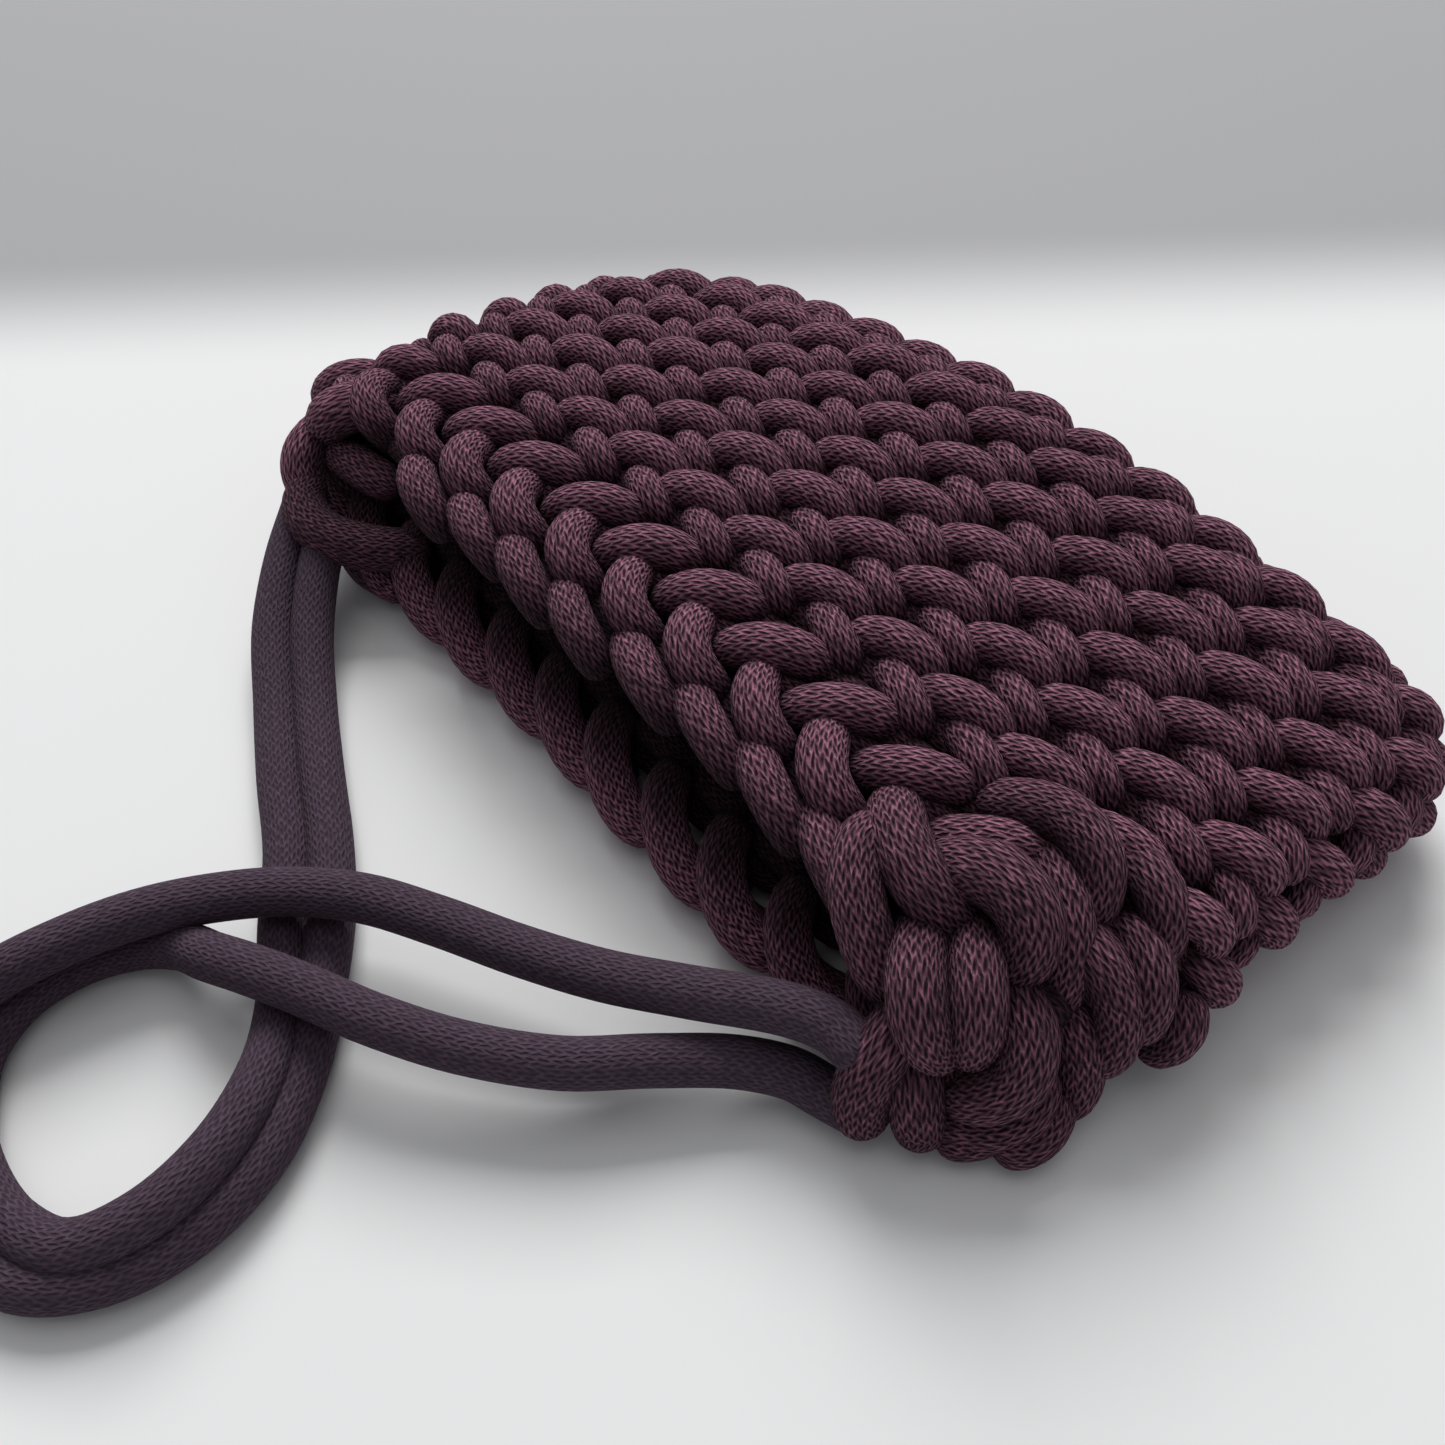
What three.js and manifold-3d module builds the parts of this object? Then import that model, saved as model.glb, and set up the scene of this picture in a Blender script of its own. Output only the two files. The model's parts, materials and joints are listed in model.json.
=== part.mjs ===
// A small shoulder bag, crocheted in rounds from thick padded cord, lying on its back with its doubled strap
// laid out in front of the mouth. Millimetres. X runs along the mouth to the near end, Y from the mouth to the
// base and Z up. The origin is under the middle of the bag, on the surface that it lies on.

import * as THREE from 'three';
import Module from 'manifold-3d';
import { mergeVertices } from 'three/addons/utils/BufferGeometryUtils.js';

const wasm = await Module();
wasm.setup();

// Driving sizes: the stitches
const stitchPitch = 19; // one stitch along a round
const stitchesAcross = 11; // stitches of one round on the front, and again on the back
const turnStitches = 3; // stitches of one round about an end of the bag
const rowPitch = 16; // height of one whole round
const wholeRounds = 6; // whole rounds on the front, between the first round and the base
const rimBand = 10.15; // width of the rim, and of the first round beside it
const joinDip = 0.22; // how far the outside dips between two stitches, as a share of half the wall
const joinNip = 0.06; // how far a round narrows between two stitches, as a share of its half width

// Driving sizes: the body
const wall = 16; // thickness of the crocheted fabric
const middleGap = 18; // hollow between front and back, at the middle of the bag
const endGap = 10; // the same hollow beside the ends
const endReach = 20.5; // from where the panels stop to the widest place of the ends
const mouthDraw = 11; // how far each end draws in at the mouth
const drawLength = 42; // length over which it draws in
const baseReach = 19; // how far the base stands out past the last flat round
const baseCorner = 38; // plan radius of the corners of the base
const baseBands = 5; // the last two rounds of the front, the first chain, and the same two of the back
const backRimLead = 1.5; // how far the back rim stands out past the front one
const seamGap = 0.3; // clearance between neighbouring pieces

// Driving sizes: the strap
const strapDiameter = 9.5;
const strapSides = 10;
const strapSteps = 40;
const pivotReach = 12.85; // from the front rim's edge to the line that the strap's two ends turn on
const pivotHeight = 15.5;
const wrapLength = 22; // width of the lashing that holds the strap's near end
const wrapReach = 16; // how far that lashing stands out from the front rim's edge
const wrapCorner = 5; // rounding of both lashings
const farMargin = 6.5; // how far the far lashing reaches past the middle of each strap end

// Derived sizes
const crownDrop = middleGap - endGap;
const halfPanel = (stitchesAcross * stitchPitch) / 2;
const halfWidth = halfPanel + endReach;
const height = 2 * wall + middleGap;
const halfHeight = height / 2;
const flatLength = 2 * rimBand + wholeRounds * rowPitch;
const baseLength = Math.PI * Math.sqrt((halfHeight ** 2 + baseReach ** 2) / 2);
const panelLength = 2 * flatLength + baseLength;
const mouthY = (wrapReach - flatLength - baseReach) / 2;
const baseY = mouthY + flatLength;
const backEdgeY = mouthY - backRimLead;
const turnOuter = wall + endGap / 2;
const baseHalf = halfWidth - baseCorner;
const strapRadius = strapDiameter / 2;

// Strap routes, from the near end to the far one: Y is measured from the front rim's edge
const upperRoute = [
  [89.7, -10, 20.4], [81, -10, 20.4], [72.5, -13.2, 20], [57, -23.3, 18.4], [43, -32.3, 17], [28, -40.3, 16],
  [12, -48.3, 15.8], [-2, -56.3, 15.5], [-13, -66.3, 15.4], [-22, -78.3, 15.2], [-28.5, -90.3, 15],
  [-32.5, -103.3, 15], [-35, -117.3, 14.2], [-34.5, -129.3, 11.4], [-28, -139.8, 7.8], [-15, -146.8, 5.4],
  [2, -148.8, 4.9], [18, -143.3, 4.9], [28, -130.3, 4.9], [30.5, -113.3, 4.9], [25, -96.3, 4.9], [14.5, -82.3, 4.9],
  [2, -70.8, 4.9], [-10, -61.3, 4.9], [-25, -52.3, 4.9], [-42, -43.8, 4.9], [-60, -34.3, 5.4], [-75, -24.8, 9],
  [-86.6, -pivotReach, pivotHeight],
];
const lowerRoute = [
  [89.7, -13.8, 10.4], [83.5, -13.8, 10.4], [77, -17.4, 10.6], [69.5, -24.4, 11.6], [60, -36, 13.2],
  [49, -48.3, 14.6], [34, -59.3, 15.2], [19, -67.8, 15.5], [5, -74.3, 15.5], [-5, -79.3, 15.4], [-12.5, -84.3, 12.4],
  [-19.5, -89.3, 7.6], [-26, -95.3, 5], [-30.5, -104.3, 4.9], [-31, -115.3, 4.9], [-26.5, -125.3, 4.9],
  [-17.5, -132.8, 4.9], [-6, -136.3, 4.9], [6, -135.3, 4.9], [15, -128.3, 4.9], [19, -117.3, 4.9],
  [16.4, -104.3, 4.9], [8.2, -92.5, 4.9], [-2, -82.3, 4.9], [-14.5, -71.7, 4.9], [-30, -61.8, 4.9],
  [-47.5, -53.2, 4.9], [-66.5, -43, 5.4], [-86.2, -30.8, 9], [-99, -pivotReach, pivotHeight],
];

// Colours
const bodyPlum = 0x4f2d38;
const strapPlum = 0x493038;

const bag = new THREE.Group();
bag.name = 'crocheted_shoulder_bag';

function addPiece(name, geometry, colour) {
  const material = new THREE.MeshStandardMaterial({ color: colour, roughness: 0.95, metalness: 0 });
  const mesh = new THREE.Mesh(geometry, material);
  mesh.name = name;
  bag.add(mesh);
}

// Extrudes a closed outline and then moves every point with place(across, through, along)
function sweep(outline, length, steps, place) {
  const shape = new THREE.Shape(outline);
  let geometry = new THREE.ExtrudeGeometry(shape, { depth: length, steps, bevelEnabled: false });
  geometry.deleteAttribute('normal');
  geometry.deleteAttribute('uv');
  geometry = mergeVertices(geometry);
  const points = geometry.getAttribute('position');
  for (let i = 0; i < points.count; i += 1) {
    points.setXYZ(i, ...place(points.getX(i), points.getY(i), points.getZ(i)));
  }
  geometry.computeVertexNormals();
  return geometry;
}

// Section of one round: a flat band with eased edges
function roundSection(halfBand, halfWall) {
  const corners = [[-0.62, -1], [0.62, -1], [1, -0.45], [1, 0.45], [0.62, 1], [-0.62, 1], [-1, 0.45], [-1, -0.45]];
  return corners.map(([across, through]) => new THREE.Vector2(across * halfBand, through * halfWall));
}

// Swells from 0 between two stitches to 1 on the crown of each
function swell(stitch) {
  return (1 + Math.cos(2 * Math.PI * stitch)) / 2;
}

// The bag's long section: along runs from the front rim round the base to the back rim, through is outward
function longSection(along, through) {
  if (along <= flatLength) {
    return [mouthY + along, height - wall / 2 + through];
  }
  if (along >= flatLength + baseLength) {
    return [baseY - (along - flatLength - baseLength), wall / 2 - through];
  }
  const bend = (Math.PI * (along - flatLength)) / baseLength;
  const inset = wall / 2 - through;
  return [baseY + (baseReach - inset) * Math.sin(bend), halfHeight + (halfHeight - inset) * Math.cos(bend)];
}

// The front sinks toward the ends, from its full crown at the middle
function settled(x, y, z) {
  const sideways = Math.min(1, Math.abs(x) / halfPanel);
  const upward = THREE.MathUtils.clamp((z - wall) / middleGap, 0, 1);
  return [x, y, z - crownDrop * sideways * sideways * upward];
}

// Half the bag's width in plan
function planHalf(y) {
  const drawn = THREE.MathUtils.clamp((mouthY + drawLength - y) / drawLength, 0, 1);
  const past = Math.max(0, y - (baseY + baseReach - baseCorner));
  return halfWidth - mouthDraw * drawn * drawn - baseCorner + Math.sqrt(baseCorner ** 2 - past ** 2);
}

// One round along the front, base or back; the side that the bag lies on stays flat
function addRound(name, from, to, halfLength, shift) {
  const stitches = Math.round((2 * halfLength) / stitchPitch);
  const middle = (from + to) / 2;
  const liesFlat = from >= flatLength + baseLength - seamGap;
  const outline = roundSection((to - from - seamGap) / 2, wall / 2);
  const geometry = sweep(outline, 2 * halfLength, 2 * stitches, (across, through, w) => {
    const between = 1 - swell((w / (2 * halfLength)) * stitches + shift);
    const dip = through > 0 && !liesFlat ? 1 - joinDip * between : 1;
    const [y, z] = longSection(middle + across * (1 - joinNip * between), through * dip);
    return settled(w - halfLength, y, z);
  });
  addPiece(name, geometry, bodyPlum);
}

// One round's turn about an end of the bag: side is 1 at the near end and -1 at the far one
function addTurn(name, from, to, side, shift) {
  const middle = (from + to) / 2;
  const outline = roundSection((to - from - seamGap) / 2, wall / 2);
  const geometry = sweep(outline, Math.PI, 2 * turnStitches, (across, through, w) => {
    const between = 1 - swell((w / Math.PI) * turnStitches + shift);
    const dip = through > 0 ? 1 - joinDip * between * Math.sin(w) : 1;
    const turn = side > 0 ? w : Math.PI - w;
    const reach = turnOuter - wall / 2 + through * dip;
    const y = mouthY + middle + across * (1 - joinNip * between);
    const start = halfPanel + seamGap;
    const stretch = (planHalf(y) - start) / turnOuter;
    return [side * (start + reach * Math.sin(turn) * stretch), y, turnOuter + reach * Math.cos(turn)];
  });
  addPiece(name, geometry, bodyPlum);
}

// The rounded corner that closes an end of the base
function addBaseCorner(name, side) {
  const arcSteps = 8;
  const sweepSteps = 6;
  const lastTurn = THREE.MathUtils.degToRad(80);
  const start = baseHalf + seamGap;
  const reach = planHalf(baseY) - start;
  const flatY = baseY + seamGap;
  const outline = [];
  for (let i = 0; i <= arcSteps; i += 1) {
    const bend = (Math.PI * i) / arcSteps;
    const arcZ = halfHeight + halfHeight * Math.cos(bend);
    const [, , z] = settled(start, baseY, arcZ);
    outline.push(new THREE.Vector2((baseReach - seamGap) * Math.sin(bend), z - turnOuter));
  }
  const geometry = sweep(outline, lastTurn, sweepSteps, (outward, upward, w) => {
    const turn = side > 0 ? w : lastTurn - w;
    const x = side * (start + reach * Math.sin(turn));
    return [x, flatY + outward * Math.cos(turn), turnOuter + upward * Math.cos(turn)];
  });
  addPiece(name, geometry, bodyPlum);
}

// The lashing that sews a strap end to the back rim: a rounded block from x0 to x1, y0 to y1, standing on z = 0
function addWrap(name, x0, x1, y0, y1, top) {
  const round = Math.min(wrapCorner, (y1 - y0) / 2 - seamGap);
  const outline = new THREE.Path();
  outline.moveTo(y0 + round, 0);
  outline.lineTo(y1, 0);
  outline.lineTo(y1, top - round);
  outline.absarc(y1 - round, top - round, round, 0, Math.PI / 2);
  outline.lineTo(y0 + round, top);
  outline.absarc(y0 + round, top - round, round, Math.PI / 2, Math.PI);
  outline.lineTo(y0, round);
  outline.absarc(y0 + round, round, round, Math.PI, 1.5 * Math.PI);
  const geometry = sweep(outline.getPoints(3), x1 - x0, 1, (across, upward, w) => [x0 + w, across, upward]);
  addPiece(name, geometry, bodyPlum);
}

function asSolid(geometry) {
  const bare = geometry.clone();
  bare.deleteAttribute('normal');
  bare.deleteAttribute('uv');
  const merged = mergeVertices(bare);
  const vertProperties = Float32Array.from(merged.getAttribute('position').array);
  const triVerts = Uint32Array.from(merged.getIndex().array);
  return new wasm.Manifold(new wasm.Mesh({ numProp: 3, vertProperties, triVerts }));
}

function asGeometry(solid) {
  const mesh = solid.getMesh();
  const geometry = new THREE.BufferGeometry();
  geometry.setAttribute('position', new THREE.BufferAttribute(mesh.vertProperties, 3));
  geometry.setIndex(new THREE.BufferAttribute(mesh.triVerts, 1));
  geometry.computeVertexNormals();
  return geometry;
}

// One strand of the strap: a tube with a flat near end and a round far end, which turns in its lashing
function addStrand(name, route) {
  const points = route.map(([x, y, z]) => new THREE.Vector3(x, mouthY + y, z));
  const path = new THREE.CatmullRomCurve3(points);
  const circle = [];
  for (let i = 0; i < strapSides; i += 1) {
    const angle = (2 * Math.PI * i) / strapSides;
    circle.push(new THREE.Vector2(strapRadius * Math.cos(angle), strapRadius * Math.sin(angle)));
  }
  const tube = new THREE.ExtrudeGeometry(new THREE.Shape(circle), { steps: strapSteps, extrudePath: path });
  const ball = new THREE.SphereGeometry(strapRadius, strapSides, strapSides - 2);
  ball.translate(...points.at(-1).toArray());
  addPiece(name, asGeometry(asSolid(tube).add(asSolid(ball))), strapPlum);
}

// Rim and rounds of the front and back, with their turns at both ends
const bands = [rimBand, rimBand, ...Array(wholeRounds).fill(rowPitch)];
let from = 0;
bands.forEach((band, k) => {
  const to = from + band;
  const shift = (k % 2) / 2;
  const round = k === 0 ? 'rim' : `round_${k}`;
  const turn = k === 0 ? 'rim_turn' : `turn_${k}`;
  const lead = k === 0 ? backRimLead : 0;
  addRound(`front_${round}`, from, to, halfPanel, shift);
  addRound(`back_${round}`, panelLength - to, panelLength - from + lead, halfPanel, shift);
  addTurn(`near_${turn}`, from, to, 1, shift);
  addTurn(`far_${turn}`, from, to, -1, shift);
  from = to;
});

// The last rounds and the first chain, round the base
const lastRound = bands.length;
const baseNames = [`front_round_${lastRound}`, `front_round_${lastRound + 1}`, 'base_chain',
  `back_round_${lastRound + 1}`, `back_round_${lastRound}`];
baseNames.forEach((name, k) => {
  const start = flatLength + (k * baseLength) / baseBands;
  addRound(name, start, start + baseLength / baseBands, baseHalf, ((k + lastRound) % 2) / 2);
});
addBaseCorner('near_base_corner', 1);
addBaseCorner('far_base_corner', -1);

// The lashings and the two strands of the strap
const nearStart = upperRoute[0][0] + seamGap;
const wrapTop = wall + endGap - 2 * seamGap;
const farFace = mouthY - pivotReach + strapRadius + seamGap;
const wrapBack = backEdgeY - seamGap;
addWrap('near_strap_wrap', nearStart, nearStart + wrapLength, mouthY - wrapReach, wrapBack, wrapTop);
addWrap('far_strap_wrap', lowerRoute.at(-1)[0] - farMargin, upperRoute.at(-1)[0] + farMargin, farFace, wrapBack,
  wrapTop);
addStrand('strap_cord_upper', upperRoute);
addStrand('strap_cord_lower', lowerRoute);

export default bag;
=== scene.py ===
"""A crocheted shoulder bag: two loops of padded cord make each stitch, and the strap is a doubled cord."""
import json
import math
import random

import bpy
from mathutils import Matrix, Vector


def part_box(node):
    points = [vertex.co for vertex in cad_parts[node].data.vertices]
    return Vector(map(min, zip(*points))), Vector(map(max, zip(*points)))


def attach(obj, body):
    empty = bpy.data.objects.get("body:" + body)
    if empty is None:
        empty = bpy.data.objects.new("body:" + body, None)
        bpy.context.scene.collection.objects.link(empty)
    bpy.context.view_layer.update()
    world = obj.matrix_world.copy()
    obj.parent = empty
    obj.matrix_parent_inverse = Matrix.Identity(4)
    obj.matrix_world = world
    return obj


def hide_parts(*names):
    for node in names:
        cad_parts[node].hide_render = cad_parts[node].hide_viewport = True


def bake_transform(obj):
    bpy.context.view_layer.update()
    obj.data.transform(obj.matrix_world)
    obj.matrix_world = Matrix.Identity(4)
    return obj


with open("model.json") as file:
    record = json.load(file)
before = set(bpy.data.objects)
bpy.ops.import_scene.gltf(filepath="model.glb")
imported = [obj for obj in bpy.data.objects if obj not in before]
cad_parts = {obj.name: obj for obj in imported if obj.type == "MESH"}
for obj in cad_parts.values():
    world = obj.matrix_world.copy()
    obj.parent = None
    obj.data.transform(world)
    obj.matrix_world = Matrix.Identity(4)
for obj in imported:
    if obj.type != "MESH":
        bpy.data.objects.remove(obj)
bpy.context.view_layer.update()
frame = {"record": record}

MM = 0.001

# The bag's form, read from the frame
HALF_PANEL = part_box("back_round_4")[1][0]
HALF_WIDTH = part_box("near_turn_5")[1][0]
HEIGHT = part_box("front_round_5")[1][2]
END_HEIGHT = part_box("near_turn_5")[1][2]
MOUTH_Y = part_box("front_rim")[0][1]
BASE_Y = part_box("front_round_7")[1][1]
BASE_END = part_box("base_chain")[1][1]
BASE_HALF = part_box("base_chain")[1][0]
BASE_REACH = BASE_END - BASE_Y
BASE_CORNER = HALF_WIDTH - BASE_HALF
BASE_ARC = math.pi / 2 * math.sqrt(((HEIGHT / 2) ** 2 + BASE_REACH ** 2) / 2)
END_REACH = HALF_WIDTH - HALF_PANEL
FLAT_LENGTH = BASE_Y - MOUTH_Y
FRONT_NODES = frame["record"]["behaviour"]["bodies"]["front_panel"]

# How the soft bag lies: drawn in at the mouth's corners, tilted up at the far end, sagging towards the base,
# which is pushed to the near side, and with the back's rim leading the front's
NEAR_DRAW = 11 * MM
FAR_DRAW = 4 * MM
DRAW_LENGTH = 42 * MM
DRAW_CURVE = 1.1
END_TILT = 3 * MM
BASE_SHIFT = 12 * MM
MIDDLE_SAG = 0.04
NEAR_SAG = 0.2
FAR_SAG = 0.37
FAR_SAG_ACROSS = 1.5
FAR_SAG_DOWN = 1.2
NEAR_LEAD = 8.3 * MM
FAR_LEAD = 3.8 * MM
LEAD_START = -15 * MM
LEAD_CHANGE = 55 * MM
LEAD_DEPTH = 60 * MM
NEAR_LEAD_FADE = 4
FAR_LEAD_FADE = 8

# The stitches
PITCH = 19 * MM
ROW = 16 * MM
STITCHES_ACROSS = 11
STITCHES_TURN = 3
STITCHES_ROUND = 2 * (STITCHES_ACROSS + STITCHES_TURN)
TURN_LENGTH = STITCHES_TURN * PITCH
LOOP_LENGTH = STITCHES_ROUND * PITCH
FIRST_TIP = 20.4 * MM
SLANT = 0.195
MIDDLE_ROUND = 4
LAST_FLAT_ROUND = 7
LAST_ROUND = 9
CUP_RADIUS = 4.4 * MM
FIRST_CUP_RADIUS = 4.9 * MM
LEG_RADIUS = 4.1 * MM
RIM_LEG_RADIUS = 5.0 * MM
RIM_RADIUS = 4.7 * MM
BACK_RIM_RADIUS = 5.2 * MM
BAR_RADIUS = 4.6 * MM

# How tubes of cord are made, and how one loop differs from the next: its shift in millimetres, its lean, the
# share of the shift that lifts it, and its girth
LOOP_SIDES = 8
STRAP_SIDES = 20
CORNER_STEPS = 2
STRAP_STEPS = 6
ROUNDING_SHRINK = 1.08
END_ROUNDING = 0.55
LOOP_TAPER = 0.2
CORNER_TAPER = 0.15
TAPER_CURVE = 3
LOOP_SHIFT = 0.5
LOOP_LEAN = 0.06
LOOP_LIFT = 0.6
GIRTH_SPREAD = 0.05
SEED = 11

# The loops of one stitch, in millimetres from the tip of its leg: along the round towards the far end,
# towards the base, and out of the surface
CUP = [
    (12.4, -7, -12.5), (11.6, -7.5, -9.4), (9, -7.6, -6.2), (5.2, -6.3, -4.4), (1.2, -4.9, -3.9),
    (-2.6, -4.2, -4.4), (-5.6, -4.1, -7), (-6.8, -3.4, -12)]
FIRST_CUP = [
    (11.3, -12.9, -14), (10.9, -12.8, -11), (8.2, -12, -7.4), (4.2, -9.6, -5), (0.8, -7, -4.7),
    (-2.4, -4.4, -6), (-3.8, -2.4, -8.6), (-4.3, -0.6, -13)]
LEG = [
    (6.5, 8.6, -13), (5.4, 7.8, -10.5), (3.6, 6.6, -7.6), (-2.4, 3.4, -5.2), (-6.3, 2, -6),
    (-8, 2.8, -9), (-8.3, 4.6, -13)]
RIM_LEG = [
    (7, 7, -13), (6.2, 5.4, -11), (4.2, 2.2, -8), (1.6, -1.6, -5.6), (-1.4, -5, -5), (-5, -6.6, -6.2),
    (-8.4, -5.8, -9.4), (-10.4, -3.6, -14)]
RIM_CHAIN = [
    (-3.4, -6.5, -14), (-6.9, -9, -11), (-10.8, -11.5, -9.2), (-14.7, -13.4, -9), (-18.4, -14.2, -10),
    (-21.8, -14.6, -11.5), (-24.7, -14.4, -14), (-26.1, -13.3, -17)]
BACK_CHAIN = [
    (13, -15.5, -5.4), (9, -17.6, -5.8), (3.5, -18, -7.5), (-2, -17, -11), (-6.5, -14.8, -15),
    (-9, -11.5, -18), (-9.5, -7, -19)]
BACK_UNDER_CHAIN = [
    (16, -10, -4.8), (10, -13.6, -4.8), (4, -15.4, -4.8), (-2, -15.6, -4.8), (-8, -14, -4.8),
    (-13, -10, -4.8)]
INNER_BARS = [
    [(-11, -2, -13), (-6, -2.4, -11.8), (0, -2.6, -11.6), (6, -2.4, -11.8), (11, -2, -13)],
    [(-11, -9.6, -12.6), (-6, -10.2, -11.7), (0, -10.6, -11.6), (6, -10.2, -11.7), (11, -9.6, -12.6)]]
RIM_BARS = [
    [(-11, -4, -15), (-6, -4.4, -14.4), (0, -4.6, -14.2), (6, -4.4, -14.4), (11, -4, -15)]]

# One link of the first chain, in millimetres: towards the far end, down, and out past the base
BASE_CHAIN = [(-14, -4, -13), (-9, -3, -8), (-3, -1, -5.4), (3, 1, -5.4), (9, 3, -8), (14, 4, -13)]

# The loops that gather the mouth's corners and hold the strap there: each a radius, its painted light (1 for
# full colour, less for painted shade on that loop), and points in millimetres with Y from the front rim's
# edge
NEAR_RIM_LOOPS = [
    (5.4, 0.6, [
        (63.6, 15.3, 37), (65.5, 8.9, 39), (70.5, 4, 37), (75.6, 1.3, 33), (80.2, 0.7, 27), (83.3, 2.7, 20)]),
    (6.0, 0.6, [
        (61.1, 24.5, 34), (65.5, 19.1, 39), (71.7, 14.3, 41), (78.1, 12.6, 39), (82.3, 15, 33),
        (83.9, 18.1, 26)]),
    (6.4, 0.6, [
        (75.5, 17.8, 32), (78.8, 19.8, 37), (84.9, 21.6, 41), (91.4, 22.2, 40.5), (95.7, 21.3, 37),
        (96.7, 19.4, 31), (94.3, 18.2, 25)]),
    (5.6, 0.6, [
        (78.7, 14.4, 26), (83.4, 6.8, 31.5), (88.2, 0.7, 33.5), (92.2, -2.6, 30.5), (94.3, -2.3, 25),
        (96, 0, 19)]),
    (5.3, 0.6, [
        (85.4, 19.5, 27), (90.8, 13.3, 32), (95.9, 7.9, 33.5), (99, 5.1, 30), (99.9, 4.4, 25),
        (99.4, 4.3, 19)]),
    (4.8, 0.6, [
        (82.9, 39.6, 31), (89.1, 34.3, 36), (95.6, 30, 37), (100.5, 26.6, 33.5), (103, 24, 27.5),
        (104.1, 21.4, 22)]),
    (4.8, 0.6, [
        (100, 30.6, 29), (105.2, 28.3, 31.5), (110.7, 27.3, 28), (114.5, 25.8, 22), (115.4, 23.9, 16),
        (113.6, 23.2, 11)]),
    (4.8, 0.6, [
        (107.1, 21.6, 20), (111, 20.2, 17.5), (113.6, 18.7, 12.5), (114.8, 16.6, 7.5), (113.5, 14.8, 5.6)])]
NEAR_TURN_LOOPS = [
    (5.4, 0.6, [
        (73.4, 37, 35), (80, 38.1, 40), (86.9, 39.8, 42), (93.6, 38.8, 41.5), (97.6, 36.6, 37.5),
        (99.2, 33.7, 32)]),
    (5.0, 0.6, [
        (95.1, 46.6, 30), (100.2, 45.4, 35), (105.9, 43.7, 35.5), (109.6, 41.8, 31.5), (110.6, 39.3, 26)]),
    (4.8, 0.6, [
        (103.8, 37.9, 26), (107.9, 36.5, 30), (112.7, 33.9, 29.5), (115.8, 31.8, 25), (116.7, 29.3, 19)]),
    (4.8, 0.6, [
        (119.2, 38.2, 20), (121.2, 36.5, 17.5), (121, 35, 13), (118.7, 33.6, 9)])]
NEAR_LASHING = [
    (5.6, 0.5, [
        (95.6, 17.2, 20), (101.7, 13.8, 25.5), (106.9, 10.5, 24), (109.1, 6.3, 19.5), (107.1, 2.1, 16),
        (102.5, -0.3, 12)]),
    (5.0, 0.5, [
        (109.1, 12.4, 12), (111.8, 8.3, 11), (110.9, 3.5, 8.5), (107.3, -0.6, 7), (102.8, -3.9, 6)]),
    (5.7, 0.5, [
        (87.2, 1.4, 18), (89.6, -5.3, 23), (89.9, -9.5, 20), (90.3, -12.7, 14), (91.3, -13.7, 8.5),
        (92.4, -13.3, 5.8)]),
    (5.3, 0.5, [
        (91.5, -0.3, 15), (95.7, -5.2, 16.5), (98.5, -7.4, 12), (100.1, -7.9, 7), (100.7, -9.1, 5.6)]),
    (4.8, 0.5, [
        (114.1, 12.1, 9), (115.3, 8.4, 6.5), (114.6, 4.2, 5.2), (112.4, 1.4, 5.2)]),
    (4.6, 0.45, [
        (109.6, 1.8, 7), (107.6, -1.6, 5.2), (104.6, -5, 5)])]
FAR_RIM_LOOPS = [
    (6.2, 1, [
        (-104.6, 20.9, 34), (-103.8, 13.3, 37.5), (-106.6, 8.7, 36), (-110.6, 8.4, 31), (-115, 10.6, 25)]),
    (5.2, 1, [
        (-114.5, 25.2, 33), (-117.4, 20.2, 34), (-122.9, 17, 30), (-127.3, 16.5, 24)]),
    (5.2, 0.5, [
        (-113, 7.4, 22), (-102, 7, 25.5), (-93.1, 7.6, 26.5), (-88.2, 9.6, 25)])]
FAR_LASHING = [
    (6.1, 1, [
        (-117.1, 14.7, 22), (-114.7, 8.2, 26), (-111.2, 1.4, 26.5), (-108.7, -2, 23.5), (-105.5, -2.6, 20),
        (-102, -0.6, 16), (-98, 3, 12)]),
    (5.8, 0.3, [
        (-105, -2.6, 21.5), (-102, -6.8, 20.8), (-97, -9, 20.6), (-91.5, -9.4, 20), (-85, -6.5, 19),
        (-79, -1, 17.5), (-74, 6, 16)]),
    (5.4, 0.3, [
        (-96, 1, 9), (-90, -2, 6.5), (-82, -0.5, 5.8), (-74, 2.5, 5.8)]),
    (5.4, 0.2, [
        (-106.6, 9.1, 26), (-104.6, 6.5, 21), (-99.6, 7.1, 16), (-94.3, 9.8, 12)])]
# Points that the corner loops' painted crevice shade is reckoned outward from
CORNER_SHADE_HEARTS = {"near": (82, 22, 12), "far": (-98, 18, 14)}

# Where those loops take the place of the plain stitches
NEAR_LEG_START = 60 * MM
NEAR_ARCH_START = 80 * MM
NEAR_CUP_START = 95 * MM
NEAR_LEG_END = HALF_PANEL + 0.7 * TURN_LENGTH
FAR_LEG_START = -98 * MM

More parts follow.
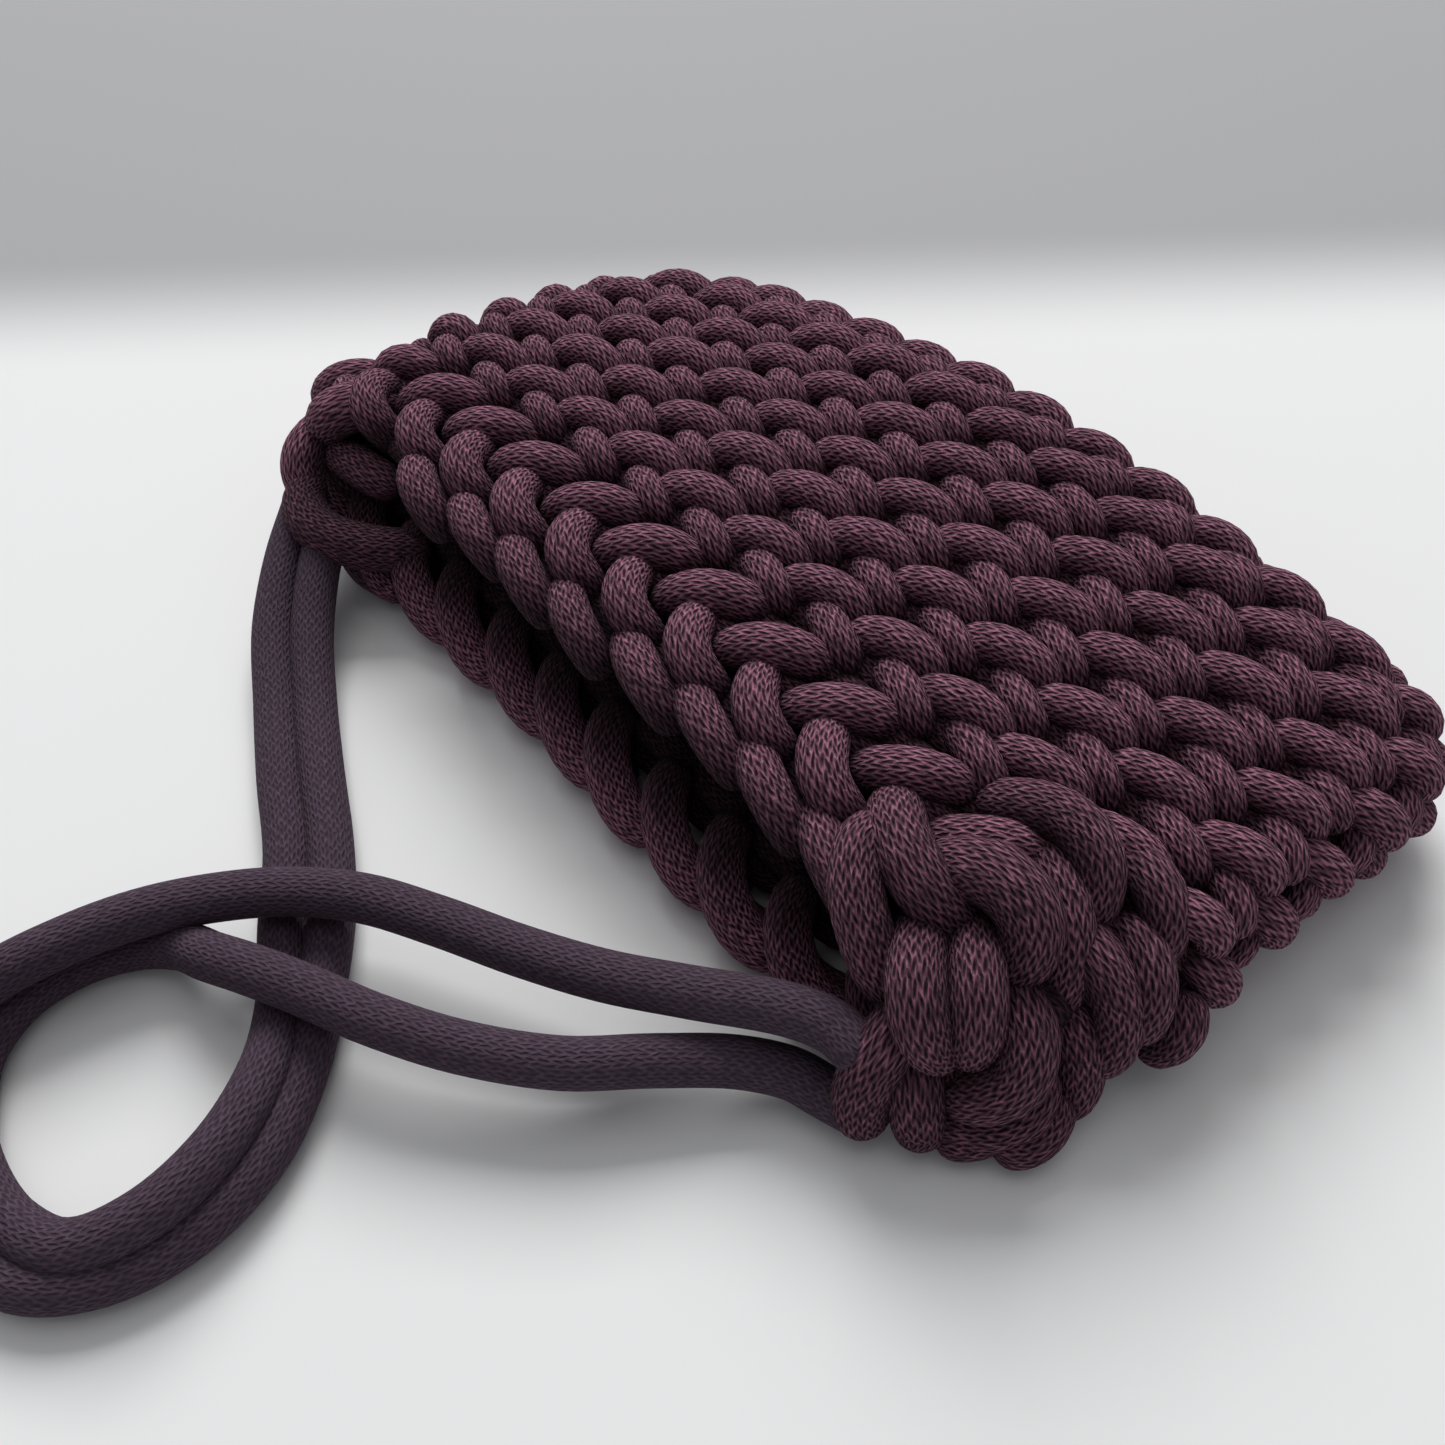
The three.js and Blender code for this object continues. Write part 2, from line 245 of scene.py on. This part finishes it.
# The strap's two strands. Y is measured from the front rim's edge
STRAP_DIAMETER = 9.8 * MM
UPPER_ROUTE = [
    (87.5, -10.6, 20.2), (81, -10.6, 20.2), (73, -13.8, 19.8), (57.6, -23.9, 18), (43.6, -33, 16.6),
    (28.6, -41, 15.8), (12.5, -48.8, 15.8), (-1.8, -56.6, 15.5), (-13, -66.5, 15.4), (-22, -78.3, 15.2),
    (-28.5, -90.3, 15), (-32.5, -103.3, 15), (-35, -117.3, 14.2), (-34.8, -127.6, 11.4), (-28.6, -136.2, 7.8),
    (-15.8, -142.2, 5.6), (1.3, -144, 5.1), (16.2, -139.4, 5.1), (25, -128.6, 5.1), (28.2, -113.2, 5.1),
    (24.6, -96.8, 5.1), (14.8, -82.6, 5.1), (2, -70.8, 5.1), (-10, -61.3, 5.1), (-25, -52.3, 5.1),
    (-42, -43.8, 5.1), (-60, -34.3, 5.5), (-75, -24.8, 9), (-85, -16, 13.4), (-92, -8.2, 17.5)]
LOWER_ROUTE = [
    (90, -14, 7), (84.5, -15.6, 6.8), (78, -18, 7.8), (70.2, -24.4, 9.6), (60.6, -35.8, 11.4),
    (50.2, -48.8, 12.8), (36, -60.4, 13.8), (21.5, -69.1, 15), (7.3, -75.6, 15.4), (-3, -80.6, 15.2),
    (-12, -84.4, 12.6), (-22, -87.4, 7.8), (-29.5, -93.4, 5.2), (-34, -103.2, 5.1), (-34.6, -115.4, 5.1),
    (-29.4, -126, 5.1), (-18.6, -133.4, 5.4), (-6, -136.4, 6.4), (7.6, -135.6, 7.4), (18.4, -130.2, 8.8),
    (23.4, -117.4, 10.8), (21, -102.2, 10.6), (12.8, -88.6, 9), (1, -79, 5.8), (-13.6, -70.3, 5.1),
    (-28.6, -60.3, 5.1), (-46, -51.7, 5.1), (-64.9, -41.4, 5.5), (-82.6, -30.5, 8.8), (-96, -17.8, 13.6),
    (-103.8, -7.2, 18.2)]

# The knit of the cords: the width of a wale, the length of a course, the colours, the lean of the strands,
# the size of a hole in wales and courses, the depth of the relief and the strength of the pattern
BODY_WALE = 1.0 * MM
BODY_COURSE = 2.4 * MM
BODY_LIGHT = (0.390, 0.165, 0.245)
BODY_DARK = (0.0020, 0.0008, 0.0014)
BODY_LEAN = 0.6
BODY_HOLE = (0.54, 0.42)
BODY_RELIEF = 0.5 * MM
BODY_CONTRAST = 0.9
STRAP_WALE = 0.85 * MM
STRAP_COURSE = 2.3 * MM
STRAP_LIGHT = (0.108, 0.071, 0.104)
STRAP_DARK = (0.044, 0.030, 0.043)
STRAP_LEAN = 0.5
STRAP_HOLE = (0.45, 0.42)
STRAP_RELIEF = 0.25 * MM
STRAP_CONTRAST = 0.75

# How the knit varies: noise scales per metre, and what each kind of noise does to the tone
WANDER_SCALE = 420
WANDER = 0.7
PATCH_SCALE = 60
PATCH_TONE = 0.25
FIBRE_SCALE = 2600
FIBRE_TONE = 0.1
STREAK_STRETCH = (1.4, 1.2, 1)
STREAK_GAIN = 4
STREAK_START = 1.5
STREAK_TONE = 0.9
STREAK_RELIEF = 0.3
NOISE_DETAIL = 2
PLAIN_TONE = 0.25
# Painted shade: the share of the tone that a cord keeps where it lies deepest
PAINTED_SHADE_TONE = 0.15
CORD_ROUGHNESS = 0.92
CORD_SPECULAR = 0.15
CORD_SHEEN = 0.03
SHEEN_ROUGHNESS = 0.5
SHEEN_TINT = (0.75, 0.5, 0.6, 1)

# Painted shade: a cord takes full painted shade below the first level and keeps its full colour above the
# second. The rims' painted shade is reckoned as if they lay this much higher
FULL_PAINTED_SHADE_LEVEL = -9 * MM
NO_PAINTED_SHADE_LEVEL = -1.5 * MM
RIM_PAINTED_SHADE_RAISE = 1.5 * MM
BACK_PAINTED_SHADE_RAISE = 11 * MM

# The floor, whose paper turns grey some way behind the bag
FLOOR_SIZE = 8
FLOOR_COLOUR = (0.92, 0.92, 0.92, 1)
FLOOR_ROUGHNESS = 0.8
WALL_COLOUR = (0.42, 0.42, 0.43, 1)
WALL_WAY = (-0.759, 0.651)
WALL_START = 0.115
WALL_END = 0.175

# The lamps: name, place, size and power
LAMPS = [("back_lamp", (-3.65, 2.9, 4.2), 3.4, 350), ("top_lamp", (-0.8, 0.6, 5.2), 5, 48)]
WORLD_COLOUR = (0.9, 0.92, 0.95, 1)
WORLD_STRENGTH = 0.22

# The camera
CAMERA_PLACE = Vector((154.8, -157.3, 245.9)) * MM
CAMERA_AIM = Vector((-0.4776, 0.4098, -0.7772))
CAMERA_RIGHT = Vector((0.6690, 0.7430, -0.0194))
CAMERA_FOCAL_PX = 1400
PHOTO_PX = 1445

unevenness = random.Random(SEED)


# Shape of the bag
def base_half(y):
    """Half the bag's width in plan, apart from the mouth's drawn corners."""
    past = max(0, y - (BASE_END - BASE_CORNER))
    return HALF_WIDTH - BASE_CORNER + math.sqrt(max(0, BASE_CORNER ** 2 - past ** 2))


def crown(x):
    """Height of the front above the table."""
    q = min(1, max(-1, x / HALF_PANEL))
    return HEIGHT - (HEIGHT - END_HEIGHT) * q ** 2 - END_TILT * q * abs(q)


def settled(point):
    """The point after the soft bag has settled askew."""
    share = min(1, max(0, (point.y - MOUTH_Y - DRAW_LENGTH) / (BASE_END - MOUTH_Y - DRAW_LENGTH)))
    q = min(1, max(-1, point.x / HALF_PANEL))
    sag = (MIDDLE_SAG + NEAR_SAG * max(0, q) ** 2) * share ** 2
    sag += FAR_SAG * max(0, -q) ** FAR_SAG_ACROSS * share ** FAR_SAG_DOWN
    return Vector((point.x + BASE_SHIFT * share ** 2, point.y, point.z * (1 - sag)))


def bag_point(along, down):
    """A point of the outside: along the round from the front's middle to the near end, down to the base."""
    bend = min(math.pi / 2, max(0, (down - FLAT_LENGTH) / BASE_ARC * math.pi / 2))
    y = MOUTH_Y + min(down, FLAT_LENGTH) + BASE_REACH * math.sin(bend)
    squeeze = math.cos(bend)
    along = (along + LOOP_LENGTH / 2) % LOOP_LENGTH - LOOP_LENGTH / 2
    side = 1 if along >= 0 else -1
    reach = abs(along)
    drawn = min(1, max(0, (MOUTH_Y + DRAW_LENGTH - y) / DRAW_LENGTH))
    half = base_half(y) - (NEAR_DRAW if side > 0 else FAR_DRAW) * drawn ** DRAW_CURVE
    panel = min(HALF_PANEL, base_half(y) - END_REACH * squeeze)
    if reach <= HALF_PANEL:
        x = reach * panel / HALF_PANEL
        z = crown(side * x) / 2 * (1 + squeeze)
    elif reach <= HALF_PANEL + TURN_LENGTH:
        angle = (reach - HALF_PANEL) / TURN_LENGTH * math.pi
        x = panel + (half - panel) * math.sin(angle)
        z = crown(side * panel) / 2 * (1 + squeeze * math.cos(angle))
    else:
        x = (2 * HALF_PANEL + TURN_LENGTH - reach) * panel / HALF_PANEL
        z = crown(side * x) / 2 * (1 - squeeze)
        fade = NEAR_LEAD_FADE if side > 0 else FAR_LEAD_FADE
        lead = FAR_LEAD + (NEAR_LEAD - FAR_LEAD) * min(1, max(0, (side * x - LEAD_START) / LEAD_CHANGE))
        y -= lead * (1 - (x / HALF_PANEL) ** fade) * max(0, 1 - down / LEAD_DEPTH) ** 2
    return settled(Vector((side * x, y, z)))


def outward(along, down):
    """The way out of the surface there."""
    step = 0.4 * MM
    sideways = bag_point(along + step, down) - bag_point(along - step, down)
    downward = bag_point(along, down + step) - bag_point(along, down - step)
    return sideways.cross(downward).normalized()


def from_rim(points):
    """Millimetre points with Y from the front rim's edge, as places in the frame."""
    return [Vector((x * MM, MOUTH_Y + y * MM, z * MM)) for x, y, z in points]


# Tubes of cord
def curve_through(points, steps):
    """Points on a smooth centripetal curve through the given ones."""
    points = [Vector(p) for p in points]
    points = [2 * points[0] - points[1]] + points + [2 * points[-1] - points[-2]]
    curve = []
    for p0, p1, p2, p3 in zip(points, points[1:], points[2:], points[3:]):
        d0, d1, d2 = (math.sqrt((b - a).length) for a, b in ((p0, p1), (p1, p2), (p2, p3)))
        start = ((p1 - p0) / d0 - (p2 - p0) / (d0 + d1) + (p2 - p1) / d1) * d1
        end = ((p2 - p1) / d1 - (p3 - p1) / (d1 + d2) + (p3 - p2) / d2) * d1
        for i in range(steps):
            f = i / steps
            curve.append(p1 * (2 * f ** 3 - 3 * f ** 2 + 1) + start * (f ** 3 - 2 * f ** 2 + f)
                         + p2 * (3 * f ** 2 - 2 * f ** 3) + end * (f ** 3 - f ** 2))
    curve.append(points[-2])
    return curve


def with_round_ends(path, radius):
    """The path with a short step added at each end, which a rounded tube narrows over."""
    step = END_ROUNDING * radius
    first = path[0] + (path[0] - path[1]).normalized() * step
    last = path[-1] + (path[-1] - path[-2]).normalized() * step
    return [first, *path, last]


class CordMesh:
    """Collects tubes of cord in one mesh, with a UV map that counts wales round and courses along each."""

    def __init__(self, wale, course):
        self.wale = wale
        self.course = course
        self.points = []
        self.faces = []
        self.uvs = []
        self.painted_light_level = []

    def tube(self, centres, radius, sides, taper=0.0, rounded=False, painted_light=1.0, painted_shade_depths=None):
        """A tube along the centres, thinner towards its ends by the share that taper gives. Its painted light
        is the given share, less where the painted shade depths, a way out and a distance for each centre, put
        it deep: painted shade in its crevices."""
        start = len(self.points)
        wales = round(2 * math.pi * radius / self.wale)
        side_vector = None
        turn = unevenness.random()
        length = unevenness.random() * self.course
        lengths = []
        for i, centre in enumerate(centres):
            tangent = (centres[min(i + 1, len(centres) - 1)] - centres[max(i - 1, 0)]).normalized()
            if side_vector is None:
                side_vector = tangent.orthogonal()
            side_vector = (side_vector - tangent * side_vector.dot(tangent)).normalized()
            up_vector = tangent.cross(side_vector)
            girth = radius * (1 - taper * abs(2 * i / (len(centres) - 1) - 1) ** TAPER_CURVE)
            if rounded and i in (0, len(centres) - 1):
                girth *= END_ROUNDING
            for k in range(sides):
                angle = 2 * math.pi * k / sides
                offset = (side_vector * math.cos(angle) + up_vector * math.sin(angle)) * girth
                self.points.append(centre + offset)
                # Painted shade: the point's colour darkens the deeper it lies below the surface
                height = painted_shade_depths[i][1] + offset.dot(painted_shade_depths[i][0]) if painted_shade_depths else 0
                self.painted_light_level.append(painted_light * min(1, max(0, (height - FULL_PAINTED_SHADE_LEVEL) / (NO_PAINTED_SHADE_LEVEL - FULL_PAINTED_SHADE_LEVEL))))
            if i:
                length += (centre - centres[i - 1]).length
            lengths.append(length / self.course)
        for i in range(len(centres) - 1):
            for k in range(sides):
                k2 = (k + 1) % sides
                row = start + i * sides
                self.faces.append((row + k, row + k2, row + sides + k2, row + sides + k))
                u1, u2 = (turn + wales * a / sides for a in (k, k + 1))
                v1, v2 = lengths[i], lengths[i + 1]
                self.uvs += [(u1, v1), (u2, v1), (u2, v2), (u1, v2)]
        last = start + (len(centres) - 1) * sides
        self.faces.append(tuple(start + k for k in reversed(range(sides))))
        self.faces.append(tuple(last + k for k in range(sides)))
        self.uvs += [(wales * k / sides, lengths[0]) for k in reversed(range(sides))]
        self.uvs += [(wales * k / sides, lengths[-1]) for k in range(sides)]

    def piece(self, name, material, smoothing):
        """The finished piece, with this many levels of smoothing."""
        mesh = bpy.data.meshes.new(name)
        mesh.from_pydata(self.points, [], self.faces)
        layer = mesh.uv_layers.new(name="knit")
        for loop, uv in zip(layer.data, self.uvs):
            loop.uv = uv
        mesh.attributes.new("painted_light_level", "FLOAT", "POINT").data.foreach_set("value", self.painted_light_level)
        mesh.materials.append(material)
        piece = bpy.data.objects.new(name, mesh)
        bpy.context.collection.objects.link(piece)
        bpy.ops.object.select_all(action="DESELECT")
        piece.select_set(True)
        bpy.context.view_layer.objects.active = piece
        if smoothing:
            rounding = piece.modifiers.new("rounding", "SUBSURF")
            rounding.levels = smoothing
            rounding.render_levels = smoothing
            bpy.ops.object.modifier_apply(modifier=rounding.name)
        bpy.ops.object.shade_smooth()
        return piece


# Materials
class Value:
    """A shader socket that takes Python maths and makes further nodes."""

    def __init__(self, tree, socket=None):
        self.tree = tree
        self.socket = socket

    def node(self, kind, settings=None, **inputs):
        """A new node; its inputs go by name, with _ for a space, or as i and their number."""
        node = self.tree.nodes.new(kind)
        for key, value in (settings or {}).items():
            setattr(node, key, value)
        for key, value in inputs.items():
            socket = node.inputs[int(key[1:])] if key[1:].isdigit() else node.inputs[key.replace("_", " ")]
            if isinstance(value, Value):
                self.tree.links.new(value.socket, socket)
            else:
                socket.default_value = value
        return node

    def out(self, node, name=0):
        return Value(self.tree, node.outputs[name])

    def maths(self, operation, a, b=0.0):
        return self.out(self.node("ShaderNodeMath", {"operation": operation}, i0=a, i1=b))

    def __add__(self, other):
        return self.maths("ADD", self, other)

    def __sub__(self, other):
        return self.maths("SUBTRACT", self, other)

    def __rsub__(self, other):
        return self.maths("SUBTRACT", other, self)

    def __mul__(self, other):
        return self.maths("MULTIPLY", self, other)

    __radd__ = __add__
    __rmul__ = __mul__

    def __mod__(self, other):
        return self.maths("FLOORED_MODULO", self, other)

    def __pow__(self, other):
        return self.maths("POWER", self, other)


def new_material(name):
    """An empty material, and the value that its nodes start from."""
    material = bpy.data.materials.new(name)
    material.use_nodes = True
    material.node_tree.nodes.clear()
    return material, Value(material.node_tree)


def noise(place, scale):
    return place.out(place.node("ShaderNodeTexNoise", Vector=place, Scale=scale, Detail=NOISE_DETAIL), "Fac")


def mixed(share, first, second):
    """The colour that lies at this share of the way from the first to the second."""
    mix = share.node("ShaderNodeMix", {"data_type": "RGBA", "clamp_factor": True},
                     i0=share, i6=first, i7=second)
    return share.out(mix, 2)


def knitted_cord(name, light, dark, lean, hole, relief, contrast):
    """Matte knitted cord: a net of slanted strands round small dark holes, with painted shade where it lies
    deep.
    """
    material, start = new_material(name)
    knit = start.out(start.node("ShaderNodeUVMap", {"uv_map": "knit"}))
    parts = knit.node("ShaderNodeSeparateXYZ", i0=knit)
    wale = knit.out(parts, "X")
    course = knit.out(parts, "Y")
    place = start.out(start.node("ShaderNodeTexCoord"), "Object")
    painted_light = start.out(start.node("ShaderNodeAttribute", {"attribute_name": "painted_light_level"}), "Fac")
    wander = WANDER * noise(place, WANDER_SCALE)
    patches = noise(place, PATCH_SCALE)
    fibres = noise(place, FIBRE_SCALE)
    strands = noise(knit.out(knit.node("ShaderNodeMapping", Vector=knit, Scale=STREAK_STRETCH)), 1)
    streak = strands.maths("MAXIMUM", STREAK_GAIN * strands - STREAK_START, 0)

    column = (wale + wander) % 2
    across = column % 1
    odd = column - across
    across = across - 0.5
    along = (course + 0.5 * odd + lean * (2 * odd - 1) * across + wander) % 1 - 0.5
    spread = (across * (1 / hole[0])) ** 2 + (along * (1 / hole[1])) ** 2
    height = spread.maths("MINIMUM", spread, 1)
    weave = PLAIN_TONE + PATCH_TONE * patches + STREAK_TONE * streak
    # Painted shade: the tone darkens where the cord lies deep, and on corner loops given less painted light
    depth = PAINTED_SHADE_TONE + (1 - PAINTED_SHADE_TONE) * painted_light
    tone = contrast * height * weave * depth + FIBRE_TONE * (fibres - 0.5)
    bump = height.node("ShaderNodeBump", Strength=1, Distance=relief, Height=height + STREAK_RELIEF * streak)
    surface = start.node(
        "ShaderNodeBsdfPrincipled", Base_Color=mixed(tone, (*dark, 1), (*light, 1)), Normal=start.out(bump),
        Roughness=CORD_ROUGHNESS, Specular_IOR_Level=CORD_SPECULAR, Sheen_Weight=CORD_SHEEN,
        Sheen_Roughness=SHEEN_ROUGHNESS, Sheen_Tint=SHEEN_TINT)
    start.node("ShaderNodeOutputMaterial", Surface=start.out(surface))
    return material


body_cord = knitted_cord(
    "body_cord", BODY_LIGHT, BODY_DARK, BODY_LEAN, BODY_HOLE, BODY_RELIEF, BODY_CONTRAST)
strap_cord = knitted_cord(
    "strap_cord", STRAP_LIGHT, STRAP_DARK, STRAP_LEAN, STRAP_HOLE, STRAP_RELIEF, STRAP_CONTRAST)


# The body, stitch by stitch
def node_of(round_number, along):
    """The CAD node that a stitch stands in."""
    reach = abs(along)
    end = "near" if along > 0 else "far"
    if HALF_PANEL < reach < HALF_PANEL + TURN_LENGTH:
        if round_number > LAST_FLAT_ROUND:
            return f"{end}_base_corner"
        return f"{end}_turn_{round_number}"
    return f"{'front' if reach <= HALF_PANEL else 'back'}_round_{round_number}"


cord_meshes = {}


def mesh_for(node):
    """The mesh that collects the cord of a CAD node."""
    if node not in cord_meshes:
        cord_meshes[node] = CordMesh(BODY_WALE, BODY_COURSE)
    return cord_meshes[node]


def add_loop(node, loop, along, down, radius, taper=LOOP_TAPER, level=0.0):
    """One loop of a stitch, laid on the bag's surface, with the painted shade in its crevices reckoned as if
    it lay this much higher.
    """
    shift = [unevenness.uniform(-LOOP_SHIFT, LOOP_SHIFT) for _ in range(3)]
    lean = unevenness.uniform(-LOOP_LEAN, LOOP_LEAN)
    centres = []
    painted_shade_depths = []
    for right, towards_base, out in loop:
        place = along - (right + shift[0] - lean * towards_base) * MM
        depth = down + (towards_base + shift[1] + lean * right) * MM
        way_out = outward(place, depth)
        rise = (out + LOOP_LIFT * shift[2]) * MM
        painted_shade_depths.append((way_out, rise + level))
        centres.append(bag_point(place, depth) + way_out * rise)
    girth = radius * unevenness.uniform(1 - GIRTH_SPREAD, 1 + GIRTH_SPREAD) * ROUNDING_SHRINK
    mesh_for(node).tube(centres, girth, LOOP_SIDES, taper, painted_shade_depths=painted_shade_depths)


def add_rim_stitch(node, along, tip):
    """A stitch of the first round, with the chain that it holds at the rim."""
    rim_node = node.replace("round_1", "rim").replace("turn_1", "rim_turn")
    if not NEAR_LEG_START < along < NEAR_LEG_END:
        add_loop(node, RIM_LEG, along, tip, RIM_LEG_RADIUS)
    if abs(along) > HALF_PANEL + TURN_LENGTH:
        add_loop(rim_node, BACK_CHAIN, along, tip, BACK_RIM_RADIUS, level=BACK_PAINTED_SHADE_RAISE)
        add_loop(rim_node, BACK_UNDER_CHAIN, along, tip, RIM_RADIUS, level=RIM_PAINTED_SHADE_RAISE)
    elif FAR_LEG_START < along < NEAR_LEG_START:
        add_loop(rim_node, RIM_CHAIN, along, tip, RIM_RADIUS, level=RIM_PAINTED_SHADE_RAISE)
    for bar in RIM_BARS:
        add_loop(node, bar, along, tip, BAR_RADIUS, taper=0)


def add_stitch(node, round_number, along, tip):
    """A stitch of any further round: its cup, its leg and the bars inside."""
    if round_number > 2:
        add_loop(node, CUP, along, tip, CUP_RADIUS)
    elif not NEAR_CUP_START < along < NEAR_LEG_END:
        add_loop(node, FIRST_CUP, along, tip, FIRST_CUP_RADIUS)
    if round_number > 2 or not NEAR_ARCH_START < along < NEAR_LEG_END:
        add_loop(node, LEG, along, tip, LEG_RADIUS)
    for bar in INNER_BARS:
        add_loop(node, bar, along, tip, BAR_RADIUS, taper=0)


def add_corner_loops(node, loops):
    """The loops that gather a corner of the mouth, or hold the strap there."""
    shade_heart = from_rim([CORNER_SHADE_HEARTS[node.split("_")[0]]])[0]
    # Painted shade: each corner loop keeps only its given share of colour, darker where the corner lies in
    # shade
    for radius, painted_light, loop in loops:
        path = with_round_ends(curve_through(from_rim(loop), CORNER_STEPS), radius * MM)
        painted_shade_depths = [((point - shade_heart).normalized(), -radius * MM) for point in path]
        mesh_for(node).tube(path, radius * MM * ROUNDING_SHRINK, LOOP_SIDES, CORNER_TAPER, True, painted_light, painted_shade_depths)


def add_base_chain():
    """The first chain, along the middle of the base."""
    links = round(2 * BASE_HALF / PITCH)
    for link in range(links):
        middle = (link + 0.5) * 2 * BASE_HALF / links - BASE_HALF
        centres = [settled(Vector((middle - right * MM, BASE_END + out * MM, crown(middle) / 2 - fall * MM)))
                   for right, fall, out in BASE_CHAIN]
        mesh_for("base_chain").tube(centres, LEG_RADIUS * ROUNDING_SHRINK, LOOP_SIDES, LOOP_TAPER)


for round_number in range(1, LAST_ROUND + 1):
    tip = FIRST_TIP + (round_number - 1) * ROW
    for stitch in range(STITCHES_ROUND):
        along = (stitch - SLANT * (round_number - MIDDLE_ROUND)) * PITCH
        along = (along + LOOP_LENGTH / 2) % LOOP_LENGTH - LOOP_LENGTH / 2
        node = node_of(round_number, along)
        if round_number == 1:
            add_rim_stitch(node, along, tip)
        else:
            add_stitch(node, round_number, along, tip)

add_corner_loops("near_rim_turn", NEAR_RIM_LOOPS)
add_corner_loops("near_turn_2", NEAR_TURN_LOOPS)
add_corner_loops("near_strap_wrap", NEAR_LASHING)
add_corner_loops("far_rim_turn", FAR_RIM_LOOPS)
add_corner_loops("far_strap_wrap", FAR_LASHING)
add_base_chain()

for node, cords in cord_meshes.items():
    piece = cords.piece(f"{node}_stitches", body_cord, 1)
    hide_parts(node)
    if "_turn" in node:
        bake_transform(piece)
    elif node in FRONT_NODES:
        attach(piece, "front_panel")
    else:
        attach(piece, "bag")


# The strap
def strap_strand(name, node, route):
    """One strand of the strap, a rounded tube along its route."""
    path = curve_through(from_rim(route), STRAP_STEPS)
    length = sum((b - a).length for a, b in zip(path, path[1:]))
    cords = CordMesh(STRAP_WALE, STRAP_COURSE)
    cords.tube(with_round_ends(path, STRAP_DIAMETER / 2), STRAP_DIAMETER / 2, STRAP_SIDES, rounded=True)
    piece = cords.piece(name, strap_cord, 0)
    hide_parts(node)
    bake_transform(piece)


strap_strand("strap_upper", "strap_cord_upper", UPPER_ROUTE)
strap_strand("strap_lower", "strap_cord_lower", LOWER_ROUTE)


# The floor, the light and the camera
def floor_paper():
    """Pale paper that turns grey some way behind the bag."""
    paper, start = new_material("floor_paper")
    place = start.out(start.node("ShaderNodeTexCoord"), "Object")
    parts = place.node("ShaderNodeSeparateXYZ", i0=place)
    behind = place.out(parts, "X") * WALL_WAY[0] + place.out(parts, "Y") * WALL_WAY[1]
    share = behind.out(behind.node("ShaderNodeMapRange", {"interpolation_type": "SMOOTHSTEP"}, i0=behind,
                                   i1=WALL_START, i2=WALL_END, i3=0, i4=1))
    surface = start.node("ShaderNodeBsdfPrincipled", Base_Color=mixed(share, FLOOR_COLOUR, WALL_COLOUR),
                         Roughness=FLOOR_ROUGHNESS)
    start.node("ShaderNodeOutputMaterial", Surface=start.out(surface))
    return paper


def add_floor():
    bpy.ops.object.select_all(action="DESELECT")
    bpy.ops.mesh.primitive_plane_add(size=FLOOR_SIZE, location=(0, 0, 0))
    floor = bpy.context.object
    floor.name = "floor"
    floor.data.materials.append(floor_paper())


def add_light():
    world = bpy.data.worlds.new("studio")
    bpy.context.scene.world = world
    world.use_nodes = True
    background = world.node_tree.nodes["Background"]
    background.inputs["Color"].default_value = WORLD_COLOUR
    background.inputs["Strength"].default_value = WORLD_STRENGTH
    for name, place, size, power in LAMPS:
        bpy.ops.object.light_add(type="AREA", location=place)
        lamp = bpy.context.object
        lamp.name = name
        lamp.data.energy = power
        lamp.data.size = size
        lamp.rotation_euler = (-lamp.location).to_track_quat("-Z", "Y").to_euler()


def add_camera():
    camera_data = bpy.data.cameras.new("camera")
    camera = bpy.data.objects.new("camera", camera_data)
    bpy.context.collection.objects.link(camera)
    aim = CAMERA_AIM.normalized()
    right = (CAMERA_RIGHT - aim * CAMERA_RIGHT.dot(aim)).normalized()
    up = right.cross(aim)
    turned = Matrix((right, up, -aim)).transposed().to_4x4()
    camera.matrix_world = Matrix.Translation(CAMERA_PLACE) @ turned
    camera_data.lens = camera_data.sensor_width * CAMERA_FOCAL_PX / PHOTO_PX
    bpy.context.scene.camera = camera
    bpy.context.scene.view_settings.view_transform = "Standard"


add_floor()
add_light()
add_camera()
